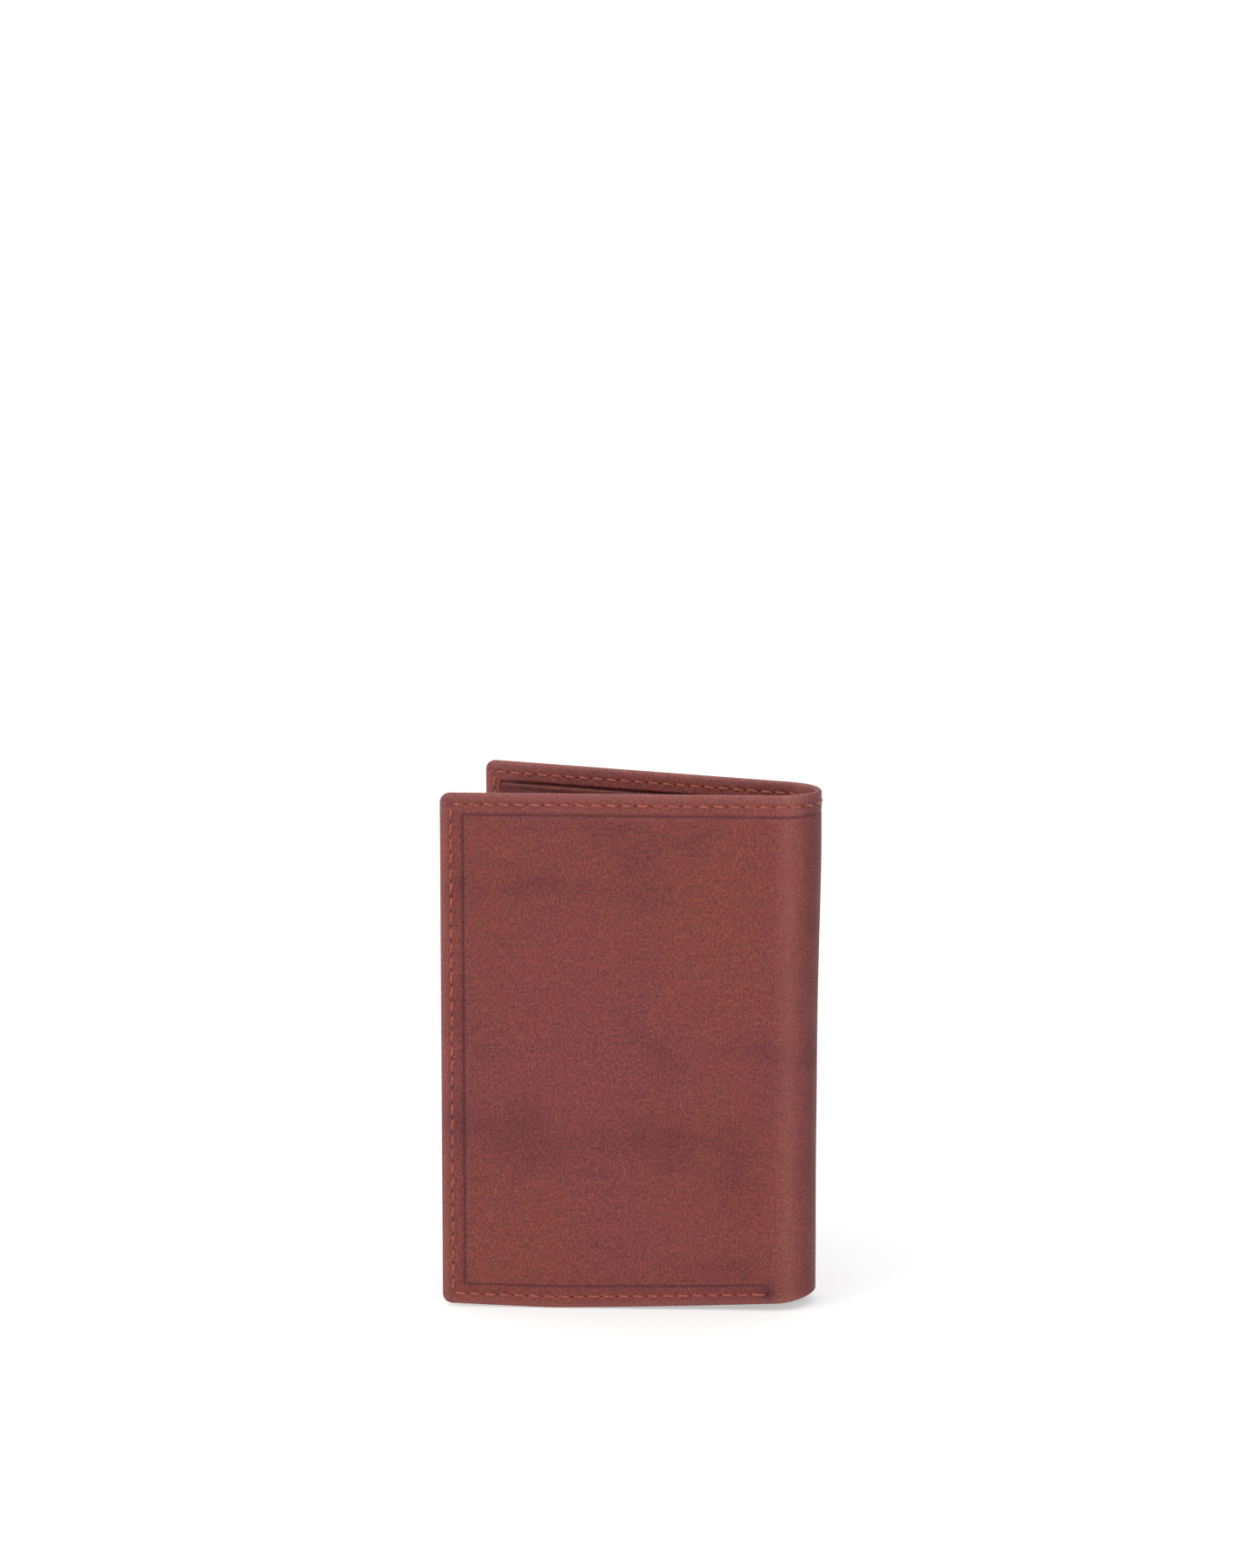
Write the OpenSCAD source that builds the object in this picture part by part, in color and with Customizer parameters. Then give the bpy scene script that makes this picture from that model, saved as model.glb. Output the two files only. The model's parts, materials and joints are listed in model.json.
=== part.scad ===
// Portrait-format folding wallet: two leather covers round one rounded fold, and a third leaf inside.
//
// Frame: +Z up, the wallet stands on its lower edge, the back cover is square to Y, and the fold is at +X.
// Each cover is drawn in its own panel frame: x from the end of the fold to the free edge, y from the
// outer face inwards, z up. The spine frame has its origin at the centre of the fold and +x to its nose.

/* [Wallet] */
// Height of the covers
wallet_h = 133.5; // [130:0.5:140]
// Length of each flat cover panel, from the fold to its free edge
panel_l = 84; // [82:0.5:90]
// Outer radius of the rounded fold
fold_r = 10.85; // [10.8:0.05:13]
// Angle between the covers as stored
opening = 19.3; // [12:0.1:24]
// Radius of the outer corners of the covers
corner_r = 2.6; // [1:0.1:5]

/* [Layers] */
// Thickness of the cover leather
cover_t = 1.2; // [1:0.05:1.2]
// Thickness of the textile lining
lining_t = 0.2; // [0.1:0.05:0.2]
// Thickness of the leather walls of the banknote pockets
wall_t = 0.5; // [0.3:0.05:0.5]
// Thickness of a card pocket on a cover
pocket_t = 0.4; // [0.25:0.05:0.4]
// Free depth of the open banknote pocket in the back cover
note_gap = 4.15; // [3:0.05:4.2]
// Free depth of the flat banknote pocket in the front cover
flat_gap = 0.3; // [0.1:0.05:0.3]
// Drop of the banknote pocket walls below the top of the covers
wall_drop = 5; // [4:0.5:8]

/* [Seams] */
// Distance of the top seam from the top edge
top_inset = 3.05; // [2.5:0.05:4]
// Distance of the side seam from the free edge
side_inset = 2.45; // [2:0.05:3]
// Distance of the bottom seam from the bottom edge
bottom_inset = 2.3; // [2:0.05:3]
// Width of the thread
thread_w = 0.55; // [0.4:0.05:0.6]

/* [Fold] */
// Angle left free between neighbouring layers at each crease, to either side of its axis
crease_gap = 3.2; // [3:0.1:5]
// Rise of the spine's lower edge above the covers' lower edge
spine_rise = 3; // [1:0.5:6]

/* [Card pockets] */
// Number of card pockets on the back cover
card_pockets = 4;
// Height of the top of the highest card pocket
pocket_top = 119; // [110:1:122]
// Step from one card pocket down to the next
pocket_step = 13; // [10:0.5:14]
// Reach of the card pockets into the fold, so that a card 85.6 long fits
pocket_reach = 5.9; // [4:0.1:5.9]

/* [Coin pocket] */
// Lower edge of the coin pocket
coin_z = 8; // [6:1:12]
// Height of the coin pocket
coin_h = 90; // [85:1:95]
// Free depth of the coin pocket
coin_gap = 2; // [1:0.1:2]
// Height of the zip's centre line
zip_z = 84; // [78:1:88]
// Length of the slot that the zip closes
zip_l = 66; // [58:1:68]
// Height of the slot that the zip closes
zip_slot_h = 8.4; // [8:0.1:9]

/* [Leaf] */
// Distance of the leaf's axis from the centre of the fold
leaf_axis = 7.2; // [6.8:0.1:7.4]
// Length of the leaf
leaf_l = 86.5; // [80:0.5:87]
// Lower edge of the leaf
leaf_z = 5; // [3:1:8]
// Height of the leaf
leaf_h = 119; // [110:1:120]
// Thickness of the leaf's core
core_t = 0.4; // [0.3:0.05:0.4]
// Share of the covers' turn that the leaf makes against the spine
leaf_share = 0.5; // [0.4:0.05:0.6]

/* [Hidden] */
$fn = 64;

// How far the fold turns, and where each half of it ends
turn = 180 - opening;
half_turn = turn / 2;
crease_a = half_turn / 2;
back_tangent = [0, 0];
fold_centre = [0, -fold_r];
front_tangent = [fold_r * sin(turn), -fold_r * (1 - cos(turn))];

// The origin is under the middle of the whole wallet
depth = fold_r * (1 - cos(turn)) + panel_l * sin(opening);
centring = [(panel_l - fold_r) / 2, depth / 2];

// How far a cut runs past the piece it goes through
over = 1;

// Layers, as distances from a cover's outer face
back_wall_y = cover_t + lining_t + note_gap;
front_wall_y = cover_t + lining_t + flat_gap;
front_pocket_y = front_wall_y + wall_t;
coin_back_y = front_pocket_y + pocket_t;
coin_back_t = 0.3;
coin_gusset_y = coin_back_y + coin_back_t;
coin_face_y = coin_gusset_y + coin_gap;
coin_face_t = 0.7;

// Extents of the inner layers
inner_l = panel_l - 2.7;
lining_l = panel_l - 5.5;
margin_w = 2.3;
margin_h = 3;
inner_z = 1.2;
lining_z = inner_z + margin_h + 0.2;
lining_top = wallet_h - 6.5;
wall_top = wallet_h - wall_drop;
wall_reach = 5.4;
skive = 0.03;
margin_drop = 8;
pocket_l = inner_l - 0.7;
pocket_z = 6;
pocket_seam_inset = 2;
slip_x = 1;
slip_drop = 6;

// Seams: the thread lies in a groove, flush with the leather
groove_w = thread_w + 0.15;
groove_t = 0.3;
groove_over = 0.5;
thread_sink = 0.04;
top_seam_z = wallet_h - top_inset;
side_seam_x = panel_l - side_inset;
bottom_seam_x = 1.9;
thread_t = groove_t - thread_sink;
inner_thread_t = 0.2;

// Coin pocket and its zip
coin_x = 4;
coin_l = panel_l - 8.5;
coin_wall = 1.4;
coin_seam_inset = 1.4;
zip_x = coin_x + (coin_l - zip_l) / 2;
tape_t = 0.35;
tape_under = 2;
tape_tail = 1.5;
tape_h = zip_slot_h / 2 + tape_under;
zip_seam_inset = 2;
tape_parting = 0.15;
cord_w = 0.7;
tooth_pitch = 1.3;
tooth_w = 0.62;
tooth_l = 0.85;
teeth_t = 1.05;
tooth_set = 0.1;
teeth_inset = 2.5;
teeth_x = zip_x + teeth_inset;
teeth_n = floor((zip_l - 2 * teeth_inset) / tooth_pitch);
stop_l = 0.9;
stop_h = 2.8;
stop_gap = 0.5;
far_stop_gap = 0.78;
slider_l = 8.5;
slider_h = 6.6;
slider_side = 1.1;
slider_clear = 0.12;
slider_roof_t = 0.7;
slider_lift = 0.1;
slider_park = 1.5;
slider_x = teeth_x + slider_park;
slider_y = coin_face_y + slider_lift;
slider_t = teeth_t + slider_roof_t + slider_lift;
bail_w = 1.6;
bail_l = 4.4;
bail_t = 0.3;
bail_post = 0.8;
pull_l = 15;
pull_w = 5;
pull_t = 0.7;
pull_room = 0.1;
pull_set = 1.2;
eye_bar = 0.9;
eye_l = 2.9;
eye_room = 0.2;

// Leaf: the pane and its frame face the front cover, the card pockets face the back cover
leaf_rest_a = leaf_share * opening / 2;
leaf_gap = 0.6;
leaf_body_x = 2.6;
pane_t = 0.2;
frame_t = 0.6;
frame_w = 8;
leaf_pocket_t = 0.3;
leaf_margin = 1;
leaf_pocket_drop = 14;
leaf_pocket_top = leaf_z + leaf_h - leaf_pocket_drop;
leaf_seam_inset = 2;
pane_margin = 2;
pane_top_margin = 3;
leaf_corner_r = 4;
tape_reach = 0.35;
tape_clear = 0.05;

leather = [0.50, 0.27, 0.25];
inner_leather = [0.42, 0.21, 0.19];
thread_colour = [0.72, 0.34, 0.22];
lining_colour = [0.20, 0.11, 0.10];
brass = [0.66, 0.53, 0.32];

// ---- Frames ----

module in_back() translate(centring + back_tangent) rotate([0, 0, 180]) children();

module in_front() translate(centring + front_tangent) rotate([0, 0, 180 + opening]) mirror([0, 1, 0])
    children();

module in_spine() translate(centring + fold_centre) rotate([0, 0, opening / 2]) children();

module in_leaf() in_spine() translate([leaf_axis, 0, 0]) rotate([0, 0, 180 - leaf_rest_a]) children();

// ---- Shapes shared by several pieces ----

// A flat sheet: x from x0 to x1, y from y0 inwards over t, z from z0 to z1
module sheet(x0, x1, y0, t, z0, z1) translate([x0, y0, z0]) cube([x1 - x0, t, z1 - z0]);

// A flat sheet with its two corners at the free edge rounded
module rounded_sheet(x0, x1, y0, t, z0, z1, r) translate([0, y0 + t, 0]) rotate([90, 0, 0])
    linear_extrude(t) {
        translate([x0, z0]) square([x1 - x0 - r, z1 - z0]);
        translate([x0, z0 + r]) square([x1 - x0, z1 - z0 - 2 * r]);
        for (z = [z0 + r, z1 - r]) translate([x1 - r, z]) circle(r);
    }

// A layer bent round the fold's centre, from angle a0 over a, at a depth below the outer face
module bend(a0, a, y0, t, z0, z1) translate([0, 0, z0]) rotate([0, 0, a0]) rotate_extrude(angle = a)
    translate([fold_r - y0 - t, 0]) square([t, z1 - z0]);

// The start of the fold that belongs to a cover, in the panel frame; its layers are skived a little thinner
module cover_bend(y0, t, z0, z1) translate([0, fold_r, 0])
    bend(-90 - crease_a + crease_gap, crease_a - crease_gap, y0 + skive, t - 2 * skive, z0, z1);

// The middle of the fold, in the spine frame
module spine_bend(y0, t, z0, z1) bend(crease_gap - crease_a, 2 * (crease_a - crease_gap), y0, t, z0, z1);

// The seam along a cover's top, side and bottom, as a band of width w
module edge_seam(w, y0, t) {
    sheet(0, side_seam_x + w / 2, y0, t, top_seam_z - w / 2, top_seam_z + w / 2);
    sheet(side_seam_x - w / 2, side_seam_x + w / 2, y0, t, bottom_inset - w / 2, top_seam_z + w / 2);
    sheet(bottom_seam_x, side_seam_x + w / 2, y0, t, bottom_inset - w / 2, bottom_inset + w / 2);
    cover_bend(y0, t, top_seam_z - w / 2, top_seam_z + w / 2);
}

module edge_thread() edge_seam(thread_w, thread_sink, thread_t);

module cover_leather() difference() {
    union() {
        rounded_sheet(0, panel_l, 0, cover_t, 0, wallet_h, corner_r);
        cover_bend(0, cover_t, spine_rise, wallet_h);
    }
    edge_seam(groove_w, -groove_over, groove_over + groove_t);
}

module cover_lining() {
    sheet(0, lining_l, cover_t, lining_t, lining_z, lining_top);
    cover_bend(cover_t, lining_t, lining_z, lining_top);
}

// The sewn margins that close a banknote pocket at its lower edge and free edge
module pocket_margins(y0, y1) {
    sheet(0, inner_l, y0, y1 - y0, inner_z, inner_z + margin_h);
    sheet(inner_l - margin_w, inner_l, y0, y1 - y0, inner_z, wall_top - margin_drop);
}

// A rectangular ring in the plane of a panel, w wide
module ring(x0, x1, y0, t, z0, z1, w) difference() {
    sheet(x0, x1, y0, t, z0, z1);
    sheet(x0 + w, x1 - w, y0 - over, t + 2 * over, z0 + w, z1 - w);
}

// ---- Back cover ----

module back_cover_leather() color(leather) in_back() cover_leather();

module back_lining() color(lining_colour) in_back() cover_lining();

module back_inner_wall() color(inner_leather) in_back() {
    sheet(-wall_reach, inner_l, back_wall_y, wall_t, inner_z, wall_top);
    pocket_margins(cover_t, back_wall_y);
}

// Card pockets overlap like steps: the lowest one lies on top
module back_card_pocket(i) color(inner_leather) in_back()
    sheet(-pocket_reach, pocket_l, back_wall_y + wall_t + (i - 1) * pocket_t, pocket_t,
        pocket_z, pocket_top - (i - 1) * pocket_step);

// A line of thread down the middle of the pockets' shared side seam
module back_pocket_thread() color(thread_colour) in_back()
    sheet(pocket_l - pocket_seam_inset, pocket_l - pocket_seam_inset + thread_w,
        back_wall_y + wall_t + card_pockets * pocket_t, inner_thread_t,
        pocket_z, pocket_top - (card_pockets - 1) * pocket_step);

module back_edge_thread() color(thread_colour) in_back() edge_thread();

// ---- Spine ----

module spine_leather() color(leather) in_spine() difference() {
    spine_bend(0, cover_t, spine_rise, wallet_h);
    spine_bend(-groove_over, groove_over + groove_t, top_seam_z - groove_w / 2, top_seam_z + groove_w / 2);
}

module spine_lining() color(lining_colour) in_spine()
    spine_bend(cover_t, lining_t, lining_z, lining_top);

module spine_inner_wall() color(inner_leather) in_spine()
    spine_bend(front_wall_y, wall_t, lining_z, wall_top);

module spine_thread() color(thread_colour) in_spine()
    spine_bend(thread_sink, thread_t, top_seam_z - thread_w / 2, top_seam_z + thread_w / 2);

// The tape that joins the leaf to the inside of the fold
module leaf_hinge_tape() color(inner_leather) in_spine()
    sheet(leaf_axis + tape_reach, fold_r - front_wall_y - wall_t - tape_clear, -core_t / 2, core_t,
        leaf_z + leaf_margin, leaf_z + leaf_h - leaf_margin);

// ---- Leaf ----

module leaf_core() color(inner_leather) in_leaf()
    rounded_sheet(leaf_gap, leaf_l, -core_t / 2, core_t, leaf_z, leaf_z + leaf_h, leaf_corner_r);

module leaf_window_pane() color([0.85, 0.88, 0.9, 0.35]) in_leaf()
    sheet(leaf_body_x + pane_margin, leaf_l - pane_margin, core_t / 2, pane_t,
        leaf_z + pane_margin, leaf_z + leaf_h - pane_top_margin);

module leaf_window_frame() color(leather) in_leaf() difference() {
    rounded_sheet(leaf_body_x, leaf_l, core_t / 2 + pane_t, frame_t, leaf_z, leaf_z + leaf_h, leaf_corner_r);
    sheet(leaf_body_x + frame_w, leaf_l - frame_w, core_t / 2 + pane_t - over, frame_t + 2 * over,
        leaf_z + frame_w, leaf_z + leaf_h - frame_w);
}

module leaf_card_pocket(i) color(inner_leather) in_leaf()
    sheet(leaf_body_x, leaf_l - leaf_margin, -core_t / 2 - i * leaf_pocket_t, leaf_pocket_t,
        leaf_z + leaf_margin, leaf_pocket_top - (i - 1) * pocket_step);

module leaf_thread() color(thread_colour) in_leaf() {
    inset = frame_w - leaf_seam_inset;
    ring(leaf_body_x + inset, leaf_l - inset, core_t / 2 + pane_t + frame_t, inner_thread_t / 2,
        leaf_z + inset, leaf_z + leaf_h - inset, thread_w);
}

// ---- Front cover ----

module front_cover_leather() color(leather) in_front() cover_leather();

module front_lining() color(lining_colour) in_front() cover_lining();

module front_inner_wall() color(inner_leather) in_front() {
    sheet(0, inner_l, front_wall_y, wall_t, inner_z, wall_top);
    cover_bend(front_wall_y, wall_t, lining_z, wall_top);
    pocket_margins(cover_t, front_wall_y);
}

module front_card_pocket() color(inner_leather) in_front()
    sheet(slip_x, pocket_l, front_pocket_y, pocket_t, pocket_z, pocket_top - slip_drop);

// ---- Coin pocket ----

module coin_pocket_back() color(lining_colour) in_front()
    sheet(coin_x, coin_x + coin_l, coin_back_y, coin_back_t, coin_z, coin_z + coin_h);

module coin_pocket_gusset() color(inner_leather) in_front()
    ring(coin_x, coin_x + coin_l, coin_gusset_y, coin_gap, coin_z, coin_z + coin_h, coin_wall);

module coin_pocket_face() color(leather) in_front() difference() {
    sheet(coin_x, coin_x + coin_l, coin_face_y, coin_face_t, coin_z, coin_z + coin_h);
    sheet(zip_x, zip_x + zip_l, coin_face_y - over, coin_face_t + 2 * over,
        zip_z - zip_slot_h / 2, zip_z + zip_slot_h / 2);
}

module coin_pocket_thread() color(thread_colour) in_front() {
    edge = coin_seam_inset;
    slot = zip_slot_h / 2 + zip_seam_inset;
    ring(coin_x + edge, coin_x + coin_l - edge, coin_face_y + coin_face_t, inner_thread_t,
        coin_z + edge, coin_z + coin_h - edge, thread_w);
    ring(zip_x - zip_seam_inset, zip_x + zip_l + zip_seam_inset, coin_face_y + coin_face_t, inner_thread_t,
        zip_z - slot, zip_z + slot, thread_w);
}

// Half of the zip, drawn above its centre line; the lower half is its mirror image
module zip_half(upper) translate([0, 0, zip_z]) mirror([0, 0, upper ? 0 : 1]) children();

module zip_tape(upper) color(lining_colour) in_front() zip_half(upper)
    sheet(zip_x - tape_tail, zip_x + zip_l + tape_tail, coin_face_y - tape_t, tape_t, tape_parting, tape_h);

// Teeth on a cord; the two rows are half a pitch apart, so that they mesh
module zip_teeth(upper) color(brass) in_front() zip_half(upper) {
    sheet(teeth_x, teeth_x + teeth_n * tooth_pitch, coin_face_y, teeth_t, tooth_l / 2 + tape_parting,
        tooth_l / 2 + tape_parting + cord_w);
    for (i = [0 : teeth_n - 1])
        translate([teeth_x + (i + (upper ? 0 : 0.5)) * tooth_pitch, coin_face_y + tooth_set, -tooth_l / 2])
            cube([tooth_w, teeth_t - 2 * tooth_set, tooth_l + tape_parting + tooth_set]);
}

module zip_end_stops() color(brass) in_front()
    for (x = [teeth_x - stop_gap - stop_l, teeth_x + teeth_n * tooth_pitch + far_stop_gap])
        sheet(x, x + stop_l, coin_face_y, teeth_t, zip_z - stop_h / 2, zip_z + stop_h / 2);

// ---- Zip slider ----

// A roof over the teeth, with a side down along each row
module zip_slider_body() color(brass) in_front() {
    difference() {
        sheet(slider_x, slider_x + slider_l, slider_y, slider_t, zip_z - slider_h / 2, zip_z + slider_h / 2);
        sheet(slider_x - over, slider_x + slider_l + over, slider_y - over, teeth_t + over + slider_clear,
            zip_z - slider_h / 2 + slider_side, zip_z + slider_h / 2 - slider_side);
    }
    slider_bail();
}

// The bridge that holds the pull: two posts and a bar over them
module slider_bail() {
    roof_y = slider_y + slider_t;
    bar_y = roof_y + pull_t + 2 * pull_room;
    bail_x = slider_x + (slider_l - bail_l) / 2;
    for (x = [bail_x, bail_x + bail_l - bail_post])
        sheet(x, x + bail_post, roof_y, bar_y - roof_y, zip_z - bail_w / 2, zip_z + bail_w / 2);
    sheet(bail_x, bail_x + bail_l, bar_y, bail_t, zip_z - bail_w / 2, zip_z + bail_w / 2);
}

// A flat pull whose eye goes round the bail's far post
module zip_pull() color(brass) in_front() difference() {
    pull_x = slider_x + slider_l / 2 - pull_set;
    pull_y = slider_y + slider_t + pull_room;
    sheet(pull_x, pull_x + pull_l, pull_y, pull_t, zip_z - pull_w / 2, zip_z + pull_w / 2);
    sheet(pull_x + eye_bar, pull_x + eye_bar + eye_l, pull_y - over, pull_t + 2 * over,
        zip_z - bail_w / 2 - eye_room, zip_z + bail_w / 2 + eye_room);
}

module front_edge_thread() color(thread_colour) in_front() edge_thread();

back_cover_leather();
back_lining();
back_inner_wall();
back_card_pocket(1);  // back_card_pocket_1
back_card_pocket(2);  // back_card_pocket_2
back_card_pocket(3);  // back_card_pocket_3
back_card_pocket(4);  // back_card_pocket_4
back_pocket_thread();
back_edge_thread();
spine_leather();
spine_lining();
spine_inner_wall();
spine_thread();
leaf_hinge_tape();
leaf_core();
leaf_window_pane();
leaf_window_frame();
leaf_card_pocket(1);  // leaf_card_pocket_1
leaf_card_pocket(2);  // leaf_card_pocket_2
leaf_card_pocket(3);  // leaf_card_pocket_3
leaf_thread();
front_cover_leather();
front_lining();
front_inner_wall();
front_card_pocket();
coin_pocket_back();
coin_pocket_gusset();
coin_pocket_face();
coin_pocket_thread();
zip_tape(true);  // zip_tape_upper
zip_tape(false);  // zip_tape_lower
zip_teeth(true);  // zip_teeth_upper
zip_teeth(false);  // zip_teeth_lower
zip_end_stops();
front_edge_thread();
zip_slider_body();
zip_pull();
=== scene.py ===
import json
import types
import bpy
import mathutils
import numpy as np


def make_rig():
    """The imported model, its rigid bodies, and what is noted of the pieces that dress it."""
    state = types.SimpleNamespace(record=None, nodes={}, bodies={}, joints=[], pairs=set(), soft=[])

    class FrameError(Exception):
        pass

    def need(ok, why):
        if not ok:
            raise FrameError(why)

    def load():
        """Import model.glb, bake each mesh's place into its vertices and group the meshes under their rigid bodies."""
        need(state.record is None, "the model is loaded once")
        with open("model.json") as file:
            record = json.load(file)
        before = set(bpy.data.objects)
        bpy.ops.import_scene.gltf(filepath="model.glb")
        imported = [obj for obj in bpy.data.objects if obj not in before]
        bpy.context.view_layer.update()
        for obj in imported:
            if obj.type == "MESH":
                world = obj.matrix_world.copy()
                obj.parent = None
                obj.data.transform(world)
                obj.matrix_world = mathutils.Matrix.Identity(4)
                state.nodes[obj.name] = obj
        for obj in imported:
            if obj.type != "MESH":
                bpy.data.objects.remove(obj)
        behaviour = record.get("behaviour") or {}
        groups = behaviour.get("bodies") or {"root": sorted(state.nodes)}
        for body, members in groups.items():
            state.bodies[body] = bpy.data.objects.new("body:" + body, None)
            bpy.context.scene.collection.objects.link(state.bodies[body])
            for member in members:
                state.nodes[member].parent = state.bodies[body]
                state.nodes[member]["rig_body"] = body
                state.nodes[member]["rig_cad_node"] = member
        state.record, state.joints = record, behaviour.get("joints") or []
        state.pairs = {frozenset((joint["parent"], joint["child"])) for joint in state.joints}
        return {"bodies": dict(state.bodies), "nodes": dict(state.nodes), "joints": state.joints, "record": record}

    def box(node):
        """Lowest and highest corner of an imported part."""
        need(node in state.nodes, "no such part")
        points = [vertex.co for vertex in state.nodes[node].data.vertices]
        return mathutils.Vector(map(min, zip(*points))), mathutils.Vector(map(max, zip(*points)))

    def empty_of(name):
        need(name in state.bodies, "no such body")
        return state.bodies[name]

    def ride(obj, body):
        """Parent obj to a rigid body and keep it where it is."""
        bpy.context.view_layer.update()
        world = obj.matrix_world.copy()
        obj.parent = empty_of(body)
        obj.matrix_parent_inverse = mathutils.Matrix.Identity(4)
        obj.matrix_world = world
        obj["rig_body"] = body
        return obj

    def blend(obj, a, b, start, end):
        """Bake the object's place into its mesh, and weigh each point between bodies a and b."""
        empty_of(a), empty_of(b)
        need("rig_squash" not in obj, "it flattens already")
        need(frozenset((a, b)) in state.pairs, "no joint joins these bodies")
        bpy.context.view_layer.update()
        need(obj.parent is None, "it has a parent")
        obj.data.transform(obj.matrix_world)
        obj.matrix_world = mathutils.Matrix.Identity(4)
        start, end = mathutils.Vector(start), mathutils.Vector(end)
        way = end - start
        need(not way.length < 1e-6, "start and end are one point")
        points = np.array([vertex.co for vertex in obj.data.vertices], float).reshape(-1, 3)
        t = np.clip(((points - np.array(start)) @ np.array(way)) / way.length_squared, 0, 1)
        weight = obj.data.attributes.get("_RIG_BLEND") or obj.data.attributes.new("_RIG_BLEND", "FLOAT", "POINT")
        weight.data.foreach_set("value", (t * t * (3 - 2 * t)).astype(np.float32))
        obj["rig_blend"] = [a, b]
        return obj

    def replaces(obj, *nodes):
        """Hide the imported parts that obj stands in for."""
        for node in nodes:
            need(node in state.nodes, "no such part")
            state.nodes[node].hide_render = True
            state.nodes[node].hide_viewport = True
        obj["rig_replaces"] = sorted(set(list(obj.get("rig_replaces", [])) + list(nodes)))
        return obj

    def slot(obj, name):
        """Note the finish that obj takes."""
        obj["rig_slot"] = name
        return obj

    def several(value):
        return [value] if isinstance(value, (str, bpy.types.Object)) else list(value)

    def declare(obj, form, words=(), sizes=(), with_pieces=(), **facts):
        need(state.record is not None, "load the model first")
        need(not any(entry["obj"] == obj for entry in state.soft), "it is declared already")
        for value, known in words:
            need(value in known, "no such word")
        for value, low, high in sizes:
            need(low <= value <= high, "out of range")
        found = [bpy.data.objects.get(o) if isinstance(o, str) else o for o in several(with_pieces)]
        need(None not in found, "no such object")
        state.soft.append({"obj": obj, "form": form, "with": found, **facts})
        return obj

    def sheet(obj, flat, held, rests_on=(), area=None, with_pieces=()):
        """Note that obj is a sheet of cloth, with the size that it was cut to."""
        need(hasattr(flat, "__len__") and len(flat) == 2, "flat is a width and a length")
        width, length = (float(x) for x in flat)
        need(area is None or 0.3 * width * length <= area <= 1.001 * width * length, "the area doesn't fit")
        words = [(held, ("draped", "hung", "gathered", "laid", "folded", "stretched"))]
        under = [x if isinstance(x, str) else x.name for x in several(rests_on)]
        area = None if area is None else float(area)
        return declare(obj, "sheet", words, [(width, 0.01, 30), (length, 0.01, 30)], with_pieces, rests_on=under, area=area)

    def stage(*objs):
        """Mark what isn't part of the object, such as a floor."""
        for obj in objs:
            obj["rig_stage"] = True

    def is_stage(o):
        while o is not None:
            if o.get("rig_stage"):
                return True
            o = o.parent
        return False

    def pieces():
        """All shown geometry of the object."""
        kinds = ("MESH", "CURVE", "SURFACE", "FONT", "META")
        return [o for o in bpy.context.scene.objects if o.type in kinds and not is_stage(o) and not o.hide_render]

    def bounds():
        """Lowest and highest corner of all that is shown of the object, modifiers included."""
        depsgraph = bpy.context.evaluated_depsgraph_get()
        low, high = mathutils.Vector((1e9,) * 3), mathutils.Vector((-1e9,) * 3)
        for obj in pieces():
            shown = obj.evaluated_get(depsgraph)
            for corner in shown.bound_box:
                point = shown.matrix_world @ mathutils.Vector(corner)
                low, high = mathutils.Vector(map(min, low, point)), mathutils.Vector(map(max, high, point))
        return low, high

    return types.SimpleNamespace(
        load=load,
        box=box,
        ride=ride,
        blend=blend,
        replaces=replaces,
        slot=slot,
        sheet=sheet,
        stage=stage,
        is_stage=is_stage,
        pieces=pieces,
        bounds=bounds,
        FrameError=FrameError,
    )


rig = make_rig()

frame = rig.load()

import json
import math
import random

import bmesh
import bpy
from mathutils import Vector

CAD_BOX = [list(corner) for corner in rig.bounds()]
MM = 0.001

# ---- Driving sizes, in millimetres: those of the CAD model ----

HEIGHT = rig.box("back_cover_leather")[1][2] / MM  # of the covers
PANEL = 84.0  # flat length of a cover, from the fold to its free edge
FOLD_R = 10.85  # outer radius of the fold
OPENING = math.radians(19.3)  # angle between the covers at rest
CORNER_R = 2.6
COVER_END = PANEL + 0.35  # the turned edge stands a little past the panel
SETTLE = 0.3  # how far the soft lower edge spreads down where the wallet stands on it
TABLE_GAP = 0.05  # between the lowest leather and the table top
LEAF_AXIS = 7.2  # distance of the leaf's axis from the fold's centre
LEAF_SHARE = 0.5  # the leaf's share of the turn

# Layers, as depths below a cover's outer face
COVER_T = 1.2
LINING_T = 0.2
FRONT_WALL_D = 1.7
BACK_WALL_D = 5.55
WALL_T = 0.5
POCKET_T = 0.4
COIN_BACK_D = FRONT_WALL_D + WALL_T + POCKET_T
COIN_BACK_T = 0.3
COIN_FACE_D = COIN_BACK_D + COIN_BACK_T + 2.0
COIN_FACE_T = 0.7

PLAY = 0.01  # left free on each side of an inner piece, so that it doesn't touch the next one

# The nose of the fold is waisted low down and flares at the top
NOSE_WAIST = 0.05
NOSE_FLARE = 0.85
FLARE_Z = 62.0
FLARE_H = 60.0

# The lower edge of the covers rises from its lowest place to the corner, the fold and the nose
LOWEST_S = 0.68 * PANEL
CORNER_LIFT = 0.85
FOLD_LIFT = 1.8
NOSE_LIFT = 1.2
LIFT_H = 30.0  # above this height the leather is straight

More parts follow.
